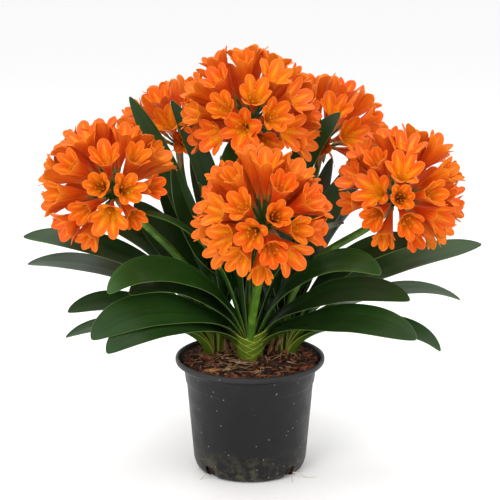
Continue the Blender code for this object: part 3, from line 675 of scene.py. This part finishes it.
def makeBracts(name, hub, aim, rng):
    # dry, papery bracts hang from under the hub
    grids = []
    for k in range(bract["count"]):
        turn = k * math.tau / bract["count"] + rng.uniform(-0.5, 0.5)
        away = unit(flat(turn) - aim * np.dot(flat(turn), aim))
        side = np.cross(aim, away)
        length = rng.uniform(*bract["length"])
        half = rng.uniform(*bract["halfWidth"])
        share = np.linspace(0, 1, 9)[:, None, None]
        columns = np.linspace(-1, 1, 5)[None, :, None]
        out = 6.5 + length * 0.62 * share
        drop = -4 - length * (0.1 * share + 0.75 * share**2)
        width = half * np.sqrt(np.maximum(1 - share**1.6, 0.003))
        curled = 1.4 * columns**2 * (1 - share) + 0.8 * np.sin(share * 9 + k) * columns
        grids.append(hub + away * (out - curled) + aim * drop + side * width * columns)
    grids = np.stack(grids)
    columns = np.broadcast_to(np.linspace(-1, 1, 5)[None, None, :], grids.shape[:3])
    rows = np.broadcast_to(np.linspace(0, 1, 9)[None, :, None], grids.shape[:3])
    marks = np.stack((columns, rows, np.full(rows.shape, 0.5)), axis=-1)
    body = sheets(grids, np.full(grids.shape[:3], bract["thickness"]), marks)
    dryMaterial(pieceFrom("dryBracts_" + name, *body, sharp=60, slot="stalk"))


def petalMaterial(piece):
    # Clivia tepal: soft, slightly waxy petal. Clear orange, redder outside, with a yellow throat
    # and a pale yellow stripe that runs up the middle of each tepal.
    tree, shader = newMaterial(piece, "softOrangeTepal", Roughness=0.5, IOR=1.4, Specular_IOR_Level=0.3)
    if not tree:
        return
    across, along, tone, inside = placeParts(tree)
    stretched = addNode(tree, "Math", {0: along, 1: 0.25}, operation="MULTIPLY")
    lane = addNode(tree, "Math", {0: tone, 1: 40.0}, operation="MULTIPLY")
    streakPlace = addNode(tree, "CombineXYZ", {0: across, 1: stretched, 2: lane})
    streaks = addNode(tree, "TexNoise", {
        "Vector": streakPlace, "Scale": 7.0, "Detail": 3.0, "Roughness": 0.6})
    off = addNode(tree, "Math", {0: across}, operation="ABSOLUTE")
    # inside: the throat's yellow reaches farthest along the midline
    drawn = addNode(tree, "Math", {0: off, 1: 0.34, 2: along}, operation="MULTIPLY_ADD")
    drawn = addNode(tree, "Math", {0: streaks, 1: 0.16, 2: drawn}, operation="MULTIPLY_ADD")
    lit = addNode(tree, "ValToRGB", {"Fac": drawn}, stops=[
        (0.5, "#FFC800"), (0.68, "#FFB40C"), (0.82, "#FC961E"), (0.93, "#F67A1A"), (1.0, "#EE6810")])
    # the stripe is 2 mm wide and fades out before the tip
    middle = addNode(tree, "MapRange", {0: off, 1: 0.02, 2: 0.15, 3: 0.5, 4: 0.0})
    fade = addNode(tree, "MapRange", {0: along, 1: 0.72, 2: 0.97, 3: 1.0, 4: 0.0})
    stripe = addNode(tree, "Math", {0: middle, 1: fade}, operation="MULTIPLY")
    inner = addNode(tree, "Mix", {0: stripe, 6: lit, 7: "#FFC03C"}, out=2, data_type="RGBA")
    outward = addNode(tree, "Math", {0: streaks, 1: 0.3, 2: along}, operation="MULTIPLY_ADD")
    outer = addNode(tree, "ValToRGB", {"Fac": outward}, stops=[
        (0.1, "#E8702A"), (0.4, "#DE4A0C"), (0.75, "#EA5A0C"), (1.0, "#F3761C")])
    both = addNode(tree, "Mix", {0: inside, 6: outer, 7: inner}, out=2, data_type="RGBA")
    rim = addNode(tree, "MapRange", {0: off, 1: 0.82, 2: 1.0, 3: 0.0, 4: 0.35})
    edged = addNode(tree, "Mix", {0: rim, 6: both, 7: "#FFAC58"}, out=2, data_type="RGBA")
    varied = addNode(tree, "HueSaturation", {
        "Color": edged,
        "Hue": addNode(tree, "MapRange", {0: tone, 3: 0.497, 4: 0.511}),
        "Value": addNode(tree, "MapRange", {0: streaks, 1: 0.3, 2: 0.7, 3: 0.8, 4: 1.06}),
    })
    tree.links.new(varied, shader.inputs["Base Color"])
    bump = addNode(tree, "Bump", {"Height": streaks, "Strength": 0.3, "Distance": 0.0005})
    tree.links.new(bump, shader.inputs["Normal"])


def stemMaterial(piece):
    # Fleshy green flower stems: smooth and satin, dark along the stem and yellower at the swollen ovary
    tree, shader = newMaterial(piece, "fleshyFlowerStem", Roughness=0.42, IOR=1.42)
    if not tree:
        return
    tone = placeParts(tree)[2]
    position = addNode(tree, "NewGeometry", out="Position")
    spots = addNode(tree, "TexNoise", {"Vector": position, "Scale": 160.0, "Detail": 3.0})
    tint = addNode(tree, "Math", {0: spots, 1: 0.3, 2: tone}, operation="MULTIPLY_ADD")
    colour = addNode(tree, "ValToRGB", {"Fac": tint}, stops=[
        (0.3, "#1E3810"), (0.5, "#3A5A1A"), (0.85, "#6C7E28"), (1.0, "#A5742C")])
    tree.links.new(colour, shader.inputs["Base Color"])


def stamenMaterial(piece):
    # Pollen-yellow anthers on pale, smooth filaments
    tree, shader = newMaterial(piece, "paleStamen", Roughness=0.6, IOR=1.4)
    if not tree:
        return
    colour = addNode(tree, "ValToRGB", {"Fac": placeParts(tree)[2]}, stops=[
        (0.0, "#FFB640"), (0.5, "#FF9A4C"), (0.9, "#DE9226")])
    tree.links.new(colour, shader.inputs["Base Color"])


def dryMaterial(piece):
    # Dead leaf and bract: papery, matt and tan, with brown lengthwise fibres about a millimetre apart
    tree, shader = newMaterial(piece, "dryPaperyLeaf", Roughness=0.8, IOR=1.4)
    if not tree:
        return
    across, along, tone, _ = placeParts(tree)
    fibres = addNode(tree, "CombineXYZ", {0: across, 1: addNode(
        tree, "Math", {0: along, 1: 0.3}, operation="MULTIPLY"), 2: tone})
    grain = addNode(tree, "TexNoise", {"Vector": fibres, "Scale": 7.0, "Detail": 4.0})
    colour = addNode(tree, "ValToRGB", {"Fac": grain}, stops=[
        (0.3, "#5A3A22"), (0.5, "#9A7048"), (0.7, "#CDAE84")])
    tree.links.new(colour, shader.inputs["Base Color"])
    bump = addNode(tree, "Bump", {"Height": grain, "Strength": 0.5, "Distance": 0.0006})
    tree.links.new(bump, shader.inputs["Normal"])


def makeStalk(name, head):
    node = "flower_stalk_" + name
    foot = np.array((*head["stand"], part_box(node)[0].z / mm))
    aim = unit(np.array(head["aim"], float))
    start = foot + stalk["straight"] * upward
    end = np.array(head["hub"]) - (stalk["hubHeight"] / 2 + stalk["gap"] + stalk["straight"]) * aim
    pull = stalk["hubPull"] * np.linalg.norm(end - foot)
    line = cubic(start, start + head["rise"] * upward, end - pull * aim, end, np.linspace(0, 1, 40))
    line = np.vstack((foot, line, end + stalk["straight"] * aim))
    body = tubes(line[None], np.linspace(stalk["radius"], stalk["topRadius"], len(line)), 24, 0.45)
    stalkMaterial(pieceFrom("stalk_" + name, *body, sharp=60, slot="stalk", stands=[node]))


def stalkMaterial(piece):
    # Flower stalk: solid, smooth and satin, fresh green, faintly ribbed along its length
    tree, shader = newMaterial(piece, "smoothFlowerStalk", Roughness=0.38, IOR=1.42)
    if not tree:
        return
    around = placeParts(tree)[0]
    position = addNode(tree, "NewGeometry", out="Position")
    # 12 soft ribs round a girth of 36 mm, 3 mm apart
    turns = addNode(tree, "Math", {0: around, 1: math.tau * 12}, operation="MULTIPLY")
    ribs = addNode(tree, "Math", {0: turns}, operation="SINE")
    spots = addNode(tree, "TexNoise", {"Vector": position, "Scale": 60.0, "Detail": 3.0})
    tint = addNode(tree, "Math", {0: ribs, 1: 0.05, 2: spots}, operation="MULTIPLY_ADD")
    colour = addNode(tree, "ValToRGB", {"Fac": tint}, stops=[
        (0.25, "#284A0A"), (0.5, "#436A12"), (0.75, "#6C8E2A")])
    tree.links.new(colour, shader.inputs["Base Color"])


# Nursery pot, from the middle of its floor up the inside, over the rim and down to the middle of its base
pot = {
    "steps": 144,
    "slotWidth": 17.0,
    "slotHeight": 16.0,
    "slotDepth": 24.0,
    "slotRound": 2.5,
    "footRadius": 74.5,
    "slotAngles": (45, 135, 225, 315),
    "profile": (
        (0, 3.0), (67.2, 3.0), (70.0, 5.0), (71.9, 9.0), (83.1, 119.5), (83.9, 121.6), (86.4, 138.0),
        (89.2, 144.0), (93.2, 147.0), (94.9, 150.0), (95.2, 152.6), (96.1, 154.2), (97.4, 155.0),
        (98.6, 154.9), (99.6, 154.2), (100.0, 153.0), (100.0, 149.6), (99.5, 148.4), (98.4, 147.2),
        (96.5, 146.0), (92.6, 144.4), (91.0, 143.6), (89.6, 141.6), (88.6, 138.0), (86.5, 122.4),
        (86.1, 121.4), (85.3, 120.6), (85.0, 119.5), (76.1, 15.0), (75.2, 11.5),
        (73.9, 7.2), (72.2, 3.8), (69.8, 1.4), (67.4, 0.4), (65.5, 0.0), (0, 0),
    ),
}


def makePot():
    outline = bmesh.new()
    points = [outline.verts.new((radius * mm, 0, height * mm)) for radius, height in pot["profile"]]
    for start, end in zip(points, points[1:]):
        outline.edges.new((start, end))
    mesh = bpy.data.meshes.new("nurseryPot")
    outline.to_mesh(mesh)
    outline.free()
    piece = bpy.data.objects.new("nurseryPot", mesh)
    bpy.context.scene.collection.objects.link(piece)
    screw = piece.modifiers.new("turn", "SCREW")
    screw.steps = pot["steps"]
    screw.render_steps = pot["steps"]
    screw.use_merge_vertices = True
    screw.merge_threshold = 1e-5
    cutters = []
    for angle in pot["slotAngles"]:
        bpy.ops.mesh.primitive_cube_add(size=1)
        cutter = bpy.context.object
        cutter.scale = (pot["slotDepth"] * mm, pot["slotWidth"] * mm, 2 * pot["slotHeight"] * mm)
        turn = math.radians(angle)
        cutter.location = pot["footRadius"] * mm * flat(turn)
        cutter.rotation_euler = (0, 0, turn)
        bpy.ops.object.transform_apply(location=False, rotation=False, scale=True)
        bevel = cutter.modifiers.new("round", "BEVEL")
        bevel.width = pot["slotRound"] * mm
        bevel.segments = 3
        cut = piece.modifiers.new("slot", "BOOLEAN")
        cut.object = cutter
        cut.operation = "DIFFERENCE"
        cutters.append(cutter)
    graph = bpy.context.evaluated_depsgraph_get()
    done = bpy.data.meshes.new_from_object(piece.evaluated_get(graph))
    piece.modifiers.clear()
    piece.data = done
    for cutter in cutters:
        bpy.data.objects.remove(cutter)
    done.shade_smooth()
    done.set_sharp_from_angle(angle=math.radians(35))
    finishPiece(piece, "pot_plastic", ["pot"])
    potMaterial(piece)


def potMaterial(piece):
    # Injection-moulded polypropylene with carbon black: satin, with pale specks all over and dried soil and
    # lime near the foot.
    # The rim has a pale band that is partly dust and partly a painted highlight.
    tree, shader = newMaterial(
        piece, "mouldedBlackPolypropylene", Roughness=0.4, IOR=1.49, Specular_IOR_Level=0.3)
    if not tree:
        return
    position = addNode(tree, "NewGeometry", out="Position")
    height = addNode(tree, "SeparateXYZ", {"Vector": position}, out="Z")
    grime = addNode(tree, "TexNoise", {
        "Vector": position, "Scale": 60.0, "Detail": 6.0, "Roughness": 0.65})
    cloud = addNode(tree, "TexNoise", {"Vector": position, "Scale": 12.0, "Detail": 4.0})
    # specks of lime, 1 to 2 mm across, on one in 8 cells of 5 mm
    cells = addNode(tree, "TexVoronoi", {"Vector": position, "Scale": 200.0}).node.outputs
    chance = addNode(tree, "TexWhiteNoise", {"Vector": cells["Position"]})
    near = addNode(tree, "MapRange", {0: cells["Distance"], 1: 0.1, 2: 0.2, 3: 1.0, 4: 0.0})
    rare = addNode(tree, "Math", {0: chance, 1: 0.88}, operation="GREATER_THAN")
    speck = addNode(tree, "Math", {0: near, 1: rare}, operation="MULTIPLY")
    foot = addNode(tree, "MapRange", {0: height, 1: 0.004, 2: 0.045, 3: 0.55, 4: 0.0})
    caked = addNode(tree, "MapRange", {0: grime, 1: 0.47, 2: 0.62})
    dirt = addNode(tree, "Math", {0: foot, 1: caked}, operation="MULTIPLY")
    # a pale band along the rim, partly dust and partly a painted highlight on the lip
    rim = addNode(tree, "MapRange", {0: height, 1: 0.143, 2: 0.156, 3: 0.0, 4: 0.1})
    dustAndLipHighlight = addNode(tree, "Math", {0: rim, 1: cloud}, operation="MULTIPLY")
    base = addNode(tree, "ValToRGB", {"Fac": cloud}, stops=[(0.3, "#060607"), (0.7, "#121213")])
    dustedAndLit = addNode(tree, "Mix", {0: dustAndLipHighlight, 6: base, 7: "#9A9C9E"}, out=2, data_type="RGBA")
    soiled = addNode(tree, "Mix", {0: dirt, 6: dustedAndLit, 7: "#6E6A52"}, out=2, data_type="RGBA")
    faint = addNode(tree, "Math", {0: speck, 1: 0.6}, operation="MULTIPLY")
    marked = addNode(tree, "Mix", {0: faint, 6: soiled, 7: "#B9B6AC"}, out=2, data_type="RGBA")
    tree.links.new(marked, shader.inputs["Base Color"])
    rough = addNode(tree, "MapRange", {0: grime, 1: 0.3, 2: 0.7, 3: 0.36, 4: 0.55})
    tree.links.new(rough, shader.inputs["Roughness"])
    bump = addNode(tree, "Bump", {"Height": grime, "Strength": 0.06, "Distance": 0.0005})
    tree.links.new(bump, shader.inputs["Normal"])


# Potting mix: a lumpy top under bark chips, thin strands, dry leaf scraps and the rootlets at the slots
mix = {
    "edge": 146.0, "mound": 7.0, "reach": 84.0, "radius": 90.5, "relief": 1.5, "crumb": 0.9,
    "spokes": 150, "rings": 46,
    "side": ((88.0, 143.0), (86.2, 140.0), (83.0, 121.0), (81.0, 104.0), (72.0, 12.0), (69.0, 4.0)),
}
# The sizes of a chip are its length, width and thickness, each from and to
chips = {
    "count": 720, "bankEvery": 3, "bank": (79, 89), "bankHeight": 3.0, "spread": 84, "wall": 91,
    "sizes": ((4, 12), (1.6, 4.4), (1.0, 2.6)),
    "largeEvery": 11, "largeSizes": ((14, 26), (4.5, 7), (2.5, 4)),
    "pitch": 0.25, "roll": 0.4, "rise": (-0.4, 1.6), "roughness": 0.1,
}
strands = {
    "count": 90, "spread": (25, 80), "half": (5, 15), "wall": 88, "bow": 0.12, "lift": (2.0, 3.4),
    "slope": 2, "radius": (0.3, 0.65),
}


def soilHeight(x, y):
    radius = np.hypot(x, y)
    waves = np.sin(0.21 * x + 1.3) * np.cos(0.17 * y - 0.4)
    ripples = np.sin(0.43 * x - 0.31 * y) * np.cos(0.37 * y + 0.29 * x)
    rise = mix["mound"] * (1 - np.minimum(1.0, radius / mix["reach"]) ** 2)
    lumps = mix["relief"] * (0.6 * waves + 0.6 * ripples) * np.minimum(1.0, (92 - radius) / 12)
    return mix["edge"] + rise + lumps


def makeSoil():
    rng = np.random.default_rng(3)
    rings, spokes = mix["rings"], mix["spokes"]
    radius = np.linspace(0, 1, rings)[1:, None] * mix["radius"]
    angle = np.arange(spokes)[None] * math.tau / spokes
    x, y = radius * np.cos(angle), radius * np.sin(angle)
    crumb = mix["crumb"] * rng.uniform(-1, 1, x.shape) * np.minimum(1, (mix["radius"] - radius) / 6)
    top = np.stack((x, y, soilHeight(x, y) + crumb), axis=-1).reshape(-1, 3)
    cosine, sine = np.cos(angle[0]), np.sin(angle[0])
    wall = [np.stack((r * cosine, r * sine, np.full(spokes, h)), -1) for r, h in mix["side"]]
    points = np.concatenate((np.array([[0, 0, soilHeight(0, 0)]]), top, *wall))
    faces = [(0, 1 + k, 1 + (k + 1) % spokes) for k in range(spokes)]
    layers = rings - 2 + len(wall)
    for ring in range(layers):
        for k in range(spokes):
            a, b = 1 + ring * spokes + k, 1 + ring * spokes + (k + 1) % spokes
            faces.append((a, a + spokes, b + spokes, b))
    last = 1 + layers * spokes
    faces.append(tuple(range(last + spokes - 1, last - 1, -1)))
    piece = pieceFrom("pottingMix", points, faces, sharp=80, slot="bark_mix", stands=["potting_mix"])
    soilMaterial(piece, "dampPottingMix", ("#120A06", "#24140D", "#45291B"))
    makeChips(rng)
    makeStrands(rng)
    makeLeafScraps(rng)
    makeRootlets()


def makeChips(rng):
    # bark chips of three colours lie at all angles, smaller ones between larger ones
    colours = (
        ("darkBark", ("#1C0E08", "#3A2014", "#5A3522")),
        ("redBark", ("#3E1D10", "#71371F", "#A05C3A")),
        ("tanBark", ("#5A3A22", "#8E6038", "#BC8E5E")),
    )
    bodies = [([], []) for _ in colours]
    for number in range(chips["count"]):
        # a third of them are banked up against the wall
        banked = number % chips["bankEvery"] == 0
        radius = rng.uniform(*chips["bank"]) if banked else chips["spread"] * math.sqrt(rng.random())
        turn = rng.uniform(0, math.tau)
        x, y = radius * math.cos(turn), radius * math.sin(turn)
        long, wide, thick = [rng.uniform(*size) for size in chips["sizes"]]
        if number % chips["largeEvery"] == 1:
            long, wide, thick = [rng.uniform(*size) for size in chips["largeSizes"]]
        long = min(long, max(3, 2 * (chips["wall"] - radius)))
        chip = bmesh.new()
        bmesh.ops.create_cube(chip, size=1)
        bmesh.ops.subdivide_edges(chip, edges=chip.edges, cuts=2, use_grid_fill=True)
        turning = Matrix.Rotation(rng.uniform(0, math.tau), 3, "Z")
        turning = turning @ Matrix.Rotation(rng.normal(0, chips["pitch"]), 3, "Y")
        turning = turning @ Matrix.Rotation(rng.normal(0, chips["roll"]), 3, "X")
        height = float(soilHeight(x, y)) + rng.uniform(*chips["rise"])
        height += chips["bankHeight"] * float(smooth((radius - 74) / 12))
        points, faces = bodies[(0, 1, 0, 1, 2, 0)[number % 6]]
        shift = len(points)
        for corner in chip.verts:
            place = corner.co + Vector(rng.uniform(-chips["roughness"], chips["roughness"], 3))
            place.x *= 1 - 0.4 * abs(place.y)
            place = turning @ Vector((place.x * long, place.y * wide, place.z * thick))
            points.append(tuple(place + Vector((x, y, height))))
        faces.extend([corner.index + shift for corner in face.verts] for face in chip.faces)
        chip.free()
    for (name, tones), (points, faces) in zip(colours, bodies):
        piece = pieceFrom(name + "Chips", points, faces, sharp=35, slot="bark_mix", stands=["potting_mix"])
        soilMaterial(piece, name, tones)


def makeStrands(rng):
    paths, radii = [], []
    for _ in range(strands["count"]):
        radius = rng.uniform(*strands["spread"])
        turn = rng.uniform(0, math.tau)
        way = rng.uniform(0, math.pi)
        half = min(rng.uniform(*strands["half"]), strands["wall"] - radius)
        share = np.linspace(-1, 1, 8)[:, None]
        bow = rng.uniform(-strands["bow"], strands["bow"]) * (1 - share**2)
        line = radius * flat(turn)[:2] + half * (share * flat(way)[:2] + bow * flat(way + math.pi / 2)[:2])
        height = soilHeight(line[:, 0], line[:, 1]).mean() + rng.uniform(*strands["lift"])
        height = height + share[:, 0] * rng.uniform(-strands["slope"], strands["slope"])
        paths.append(np.column_stack((line, height)))
        radii.append(np.full(8, rng.uniform(*strands["radius"])))
    piece = pieceFrom("strawStrands", *tubes(paths, radii, 6, 0.5), sharp=60, slot="bark_mix")
    soilMaterial(piece, "driedStraw", ("#5B4028", "#95744F", "#D0BA94"))


def makeLeafScraps(rng):
    # withered leaf bases stand between the fans: place, the way they lean, height and half-width
    scraps = ((-30, 24, 2.6, 34, 7), (-24, 40, 1.9, 44, 8), (27, 26, 0.5, 32, 7), (34, 18, 0.2, 26, 5),
              (29, 44, 1.2, 46, 9), (-20, 20, 3.4, 18, 4), (24, 12, -0.6, 16, 4), (10, 74, 1.4, 40, 8))
    grids = []
    for x, y, lean, tall, half in scraps:
        share = np.linspace(0, 1, 10)[:, None, None]
        columns = np.linspace(-1, 1, 7)[None, :, None]
        out = flat(lean)
        side = flat(lean + math.pi / 2)
        width = half * (1 - 0.75 * share**1.3)
        curl = 2.2 * np.cos(columns * 2.4) + 1.2 * np.sin(share * 8 + lean) * columns
        foot = np.array((x, y, float(soilHeight(x, y)) - 4))
        leant = out * (tall * 0.35 * share**2 - curl)
        grids.append(foot + upward * tall * share + leant + side * width * columns)
    grids = np.stack(grids)
    columns = np.broadcast_to(np.linspace(-1, 1, 7)[None, None, :], grids.shape[:3])
    rows = np.broadcast_to(np.linspace(0, 1, 10)[None, :, None], grids.shape[:3])
    marks = np.stack((columns, rows, rng.uniform(0, 1, (len(scraps), 1, 1)) * np.ones(rows.shape)), axis=-1)
    body = sheets(grids, np.full(grids.shape[:3], 0.5), marks)
    dryMaterial(pieceFrom("witheredLeafBases", *body, sharp=60, slot="leaf"))


def makeRootlets():
    # thin roots have grown out of the slots at the foot: a slot's angle, swing to the side, length
    paths = []
    for angle, swing, length in ((225, -0.2, 13), (315, 0.6, 24), (315, -0.3, 12), (45, 0.2, 18)):
        turn = math.radians(angle)
        share = np.linspace(0, 1, 10)[:, None]
        start = 70 * flat(turn + 0.08 * swing) + np.array((0, 0, 6.0))
        sideways = flat(turn + 1.57) * length * swing * share**2
        line = start + (6 + length * share) * flat(turn + swing * 0.5) + sideways
        line = line + upward * (2 * np.sin(share * 5 + swing) - 4.5 * share)
        # they rest on the ground
        line[:, 2] = np.maximum(line[:, 2], 0.8)
        paths.append(line)
    piece = pieceFrom("rootlets", *tubes(paths, np.linspace(0.7, 0.3, 10), 6, 0.5), sharp=60, slot="bark_mix")
    soilMaterial(piece, "paleRoot", ("#8A7A62", "#C9BDA6", "#EFE7D6"))


def soilMaterial(piece, name, colours):
    # Broken plant matter: rough, matt and damp, with a grain of 2 to 4 mm
    tree, shader = newMaterial(piece, name, Roughness=0.82, IOR=1.4)
    if not tree:
        return
    position = addNode(tree, "NewGeometry", out="Position")
    grain = addNode(tree, "TexNoise", {
        "Vector": position, "Scale": 260.0, "Detail": 5.0, "Roughness": 0.7})
    patch = addNode(tree, "TexNoise", {"Vector": position, "Scale": 70.0, "Detail": 2.0})
    broad = addNode(tree, "Math", {0: patch, 1: 0.5}, operation="MULTIPLY")
    mixed = addNode(tree, "Math", {0: grain, 1: 0.5, 2: broad}, operation="MULTIPLY_ADD")
    colour = addNode(tree, "ValToRGB", {"Fac": mixed}, stops=[
        (0.36, colours[0]), (0.5, colours[1]), (0.66, colours[2])])
    tree.links.new(colour, shader.inputs["Base Color"])
    bump = addNode(tree, "Bump", {"Height": grain, "Strength": 0.6, "Distance": 0.001})
    tree.links.new(bump, shader.inputs["Normal"])


def dressCrowns():
    # the root crowns keep their solids, with the fibrous look of old leaf bases
    for name in ("front", "left", "right", "back"):
        crown = frame["nodes"]["root_crown_" + name]
        soilMaterial(crown, "fibrousRootCrown", ("#3A2A14", "#6E5C28", "#A09450"))


makeStage()
print("stage ready")
makePot()
print("pot ready")
makeSoil()
dressCrowns()
print("potting mix ready")
makeLeaves()
makeCollars()
print("leaves ready")
headDraw = np.random.default_rng(11)
for headName, headFacts in heads.items():
    makeStalk(headName, headFacts)
    makeHead(headName, headFacts, headDraw)
    print("flower head ready:", headName)
